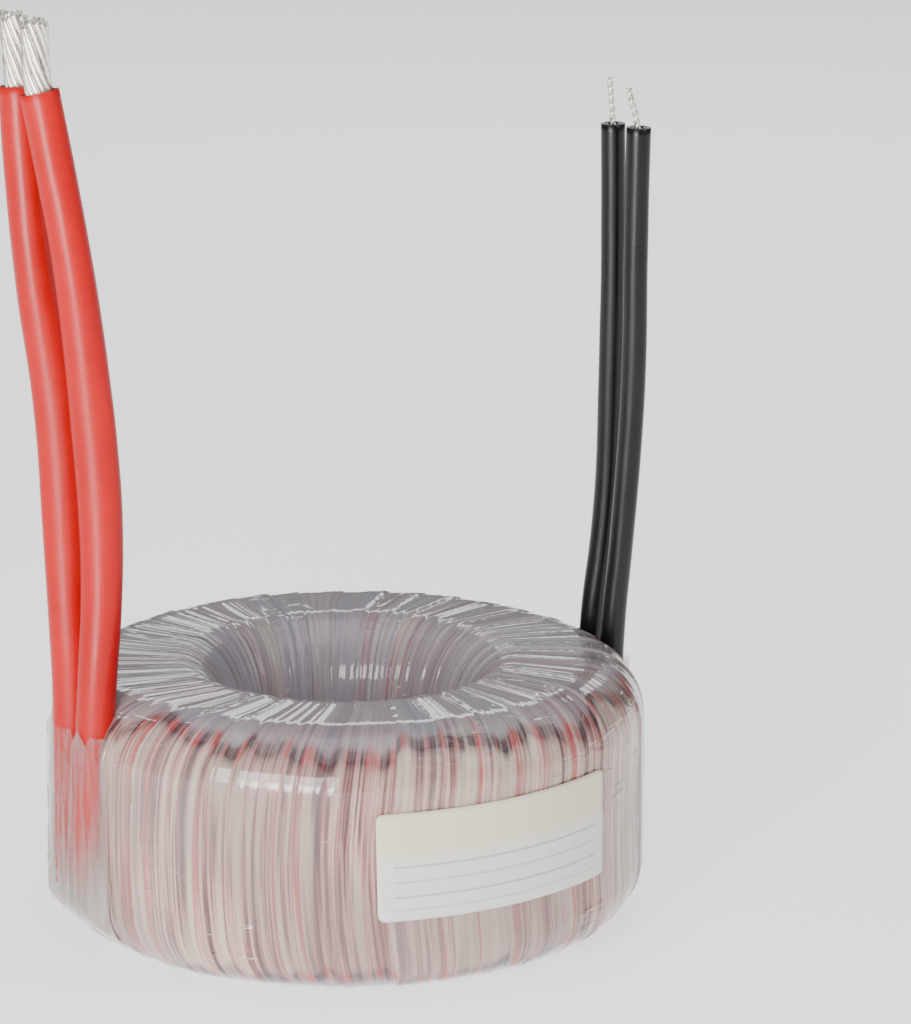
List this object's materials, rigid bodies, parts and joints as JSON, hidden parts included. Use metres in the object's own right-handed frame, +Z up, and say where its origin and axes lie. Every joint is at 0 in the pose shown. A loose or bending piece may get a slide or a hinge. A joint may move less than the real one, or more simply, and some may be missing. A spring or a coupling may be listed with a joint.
{
  "type": "toroidal transformer",
  "caption": "Ring-shaped mains transformer wound in clear film over copper wire, with a pair of red and a pair of black insulated leads standing up from its side.",
  "frame": {"origin": "centre of the underside, on the axis of the ring", "axes": "+Z up along the axis of the ring, towards the free ends of the leads; -Y towards the side with the label, a little to the right of the middle; +X towards the black leads"},
  "size_m": [0.1433, 0.1352, 0.2087],
  "materials": {
    "core_steel": "wound silicon steel strip",
    "core_tape": "polyester tape",
    "copper_wire": "enamelled copper wire",
    "barrier_film": "polyester film",
    "outer_film": "hazy clear polyester film over copper",
    "label": "off-white satin",
    "red_sleeve": "glossy PVC",
    "tinned_strand": "tinned copper",
    "black_sleeve": "satin rubber"
  },
  "bodies": {
    "root": {"core": "core_steel", "core_tape": "core_tape", "primary_winding": "copper_wire", "winding_barrier": "barrier_film", "secondary_winding": "copper_wire", "outer_film": "outer_film", "label": "label", "secondary_sleeve_front": "red_sleeve", "secondary_sleeve_rear": "red_sleeve", "secondary_strands_front": "tinned_strand", "secondary_strands_rear": "tinned_strand", "primary_sleeve_left": "black_sleeve", "primary_sleeve_right": "black_sleeve", "primary_strands_left": "tinned_strand", "primary_strands_right": "tinned_strand"}
  },
  "joints": []
}
